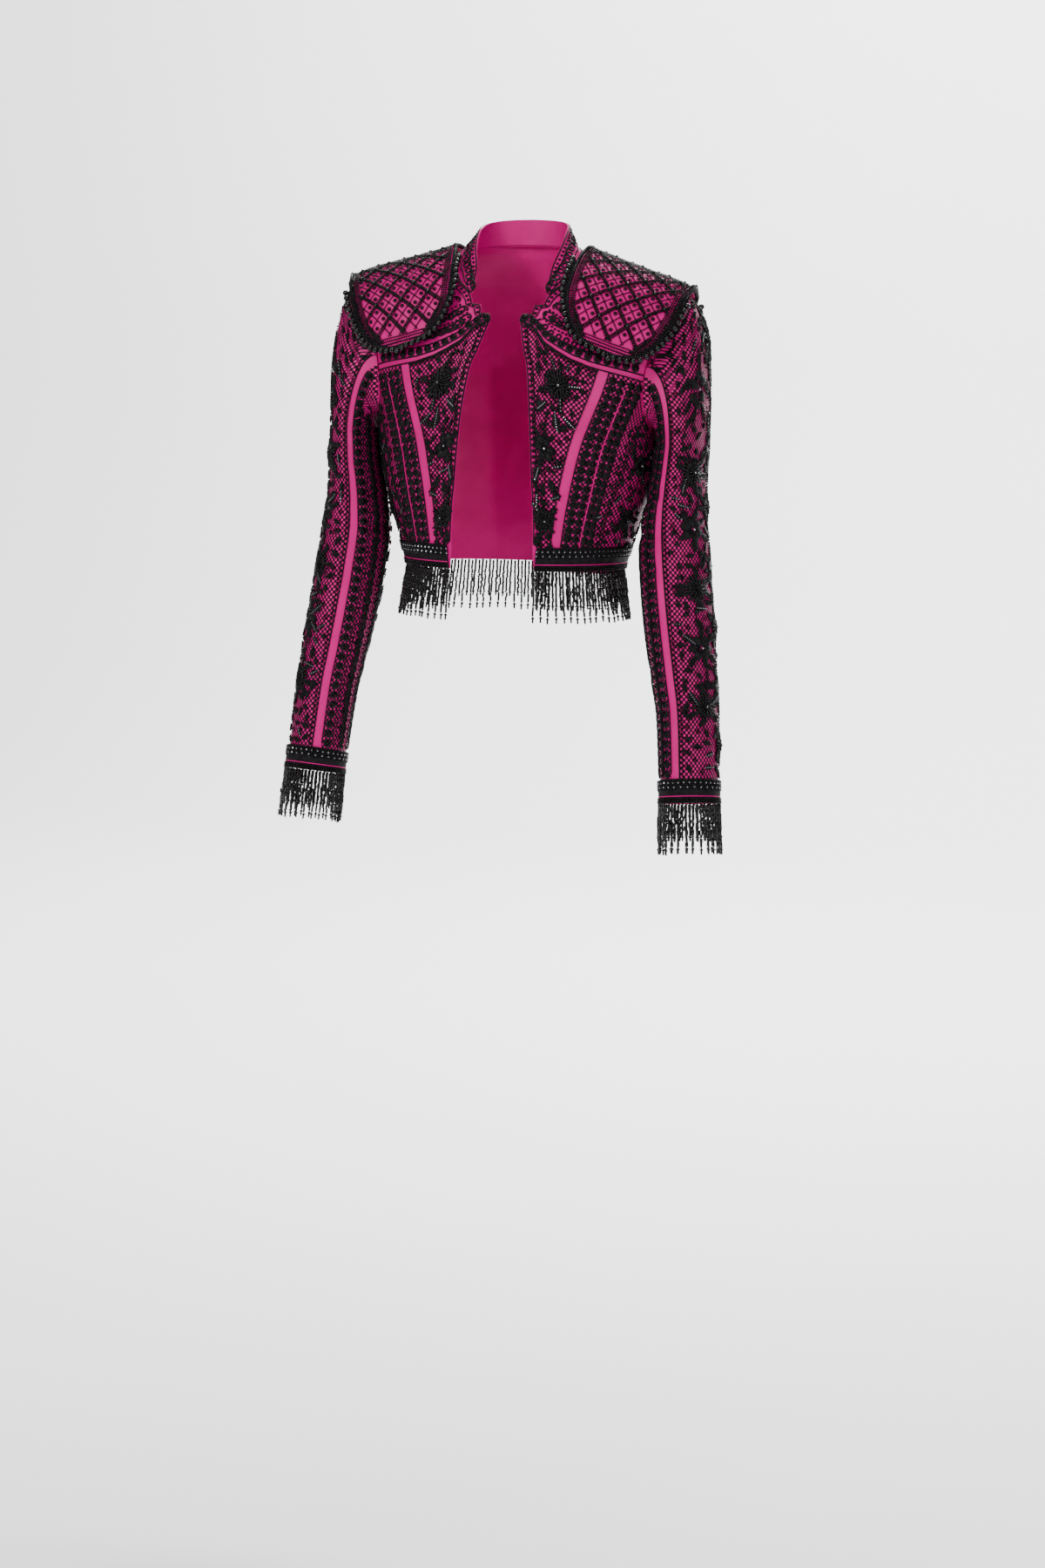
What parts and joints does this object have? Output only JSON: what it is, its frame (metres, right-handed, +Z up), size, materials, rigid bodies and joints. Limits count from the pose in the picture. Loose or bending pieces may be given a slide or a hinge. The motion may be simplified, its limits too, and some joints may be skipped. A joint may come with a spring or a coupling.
{
  "type": "matador jacket",
  "caption": "Cropped open matador jacket in magenta satin with black beadwork, soutache, padded shoulder pieces and beaded fringe, in its worn hollow form.",
  "frame": {"origin": "middle of the wearer's neck at the height where the shoulders meet it", "axes": "+Z up, the jacket faces -Y, the wearer's left is +X"},
  "size_m": [0.5672, 0.2282, 0.7709],
  "materials": {
    "satin": "satin",
    "soutache": "matte",
    "beads": "gloss"
  },
  "bodies": {
    "root": {"front_left": "satin", "front_right": "satin", "yoke_left": "satin", "yoke_right": "satin", "side_front_left": "satin", "side_front_right": "satin", "side_left": "satin", "side_right": "satin", "side_back_left": "satin", "side_back_right": "satin", "sleeve_upper_left": "satin", "sleeve_upper_right": "satin", "sleeve_under_left": "satin", "sleeve_under_right": "satin", "cuff_band_left": "beads", "cuff_band_right": "beads", "cuff_fringe_left": "beads", "cuff_fringe_right": "beads", "shoulder_pad_left": "satin", "shoulder_pad_right": "satin", "shoulder_cord_left": "beads", "shoulder_cord_right": "beads", "back": "satin", "back_yoke": "satin", "collar": "satin", "hem_band": "beads", "hem_fringe": "beads"}
  },
  "joints": []
}
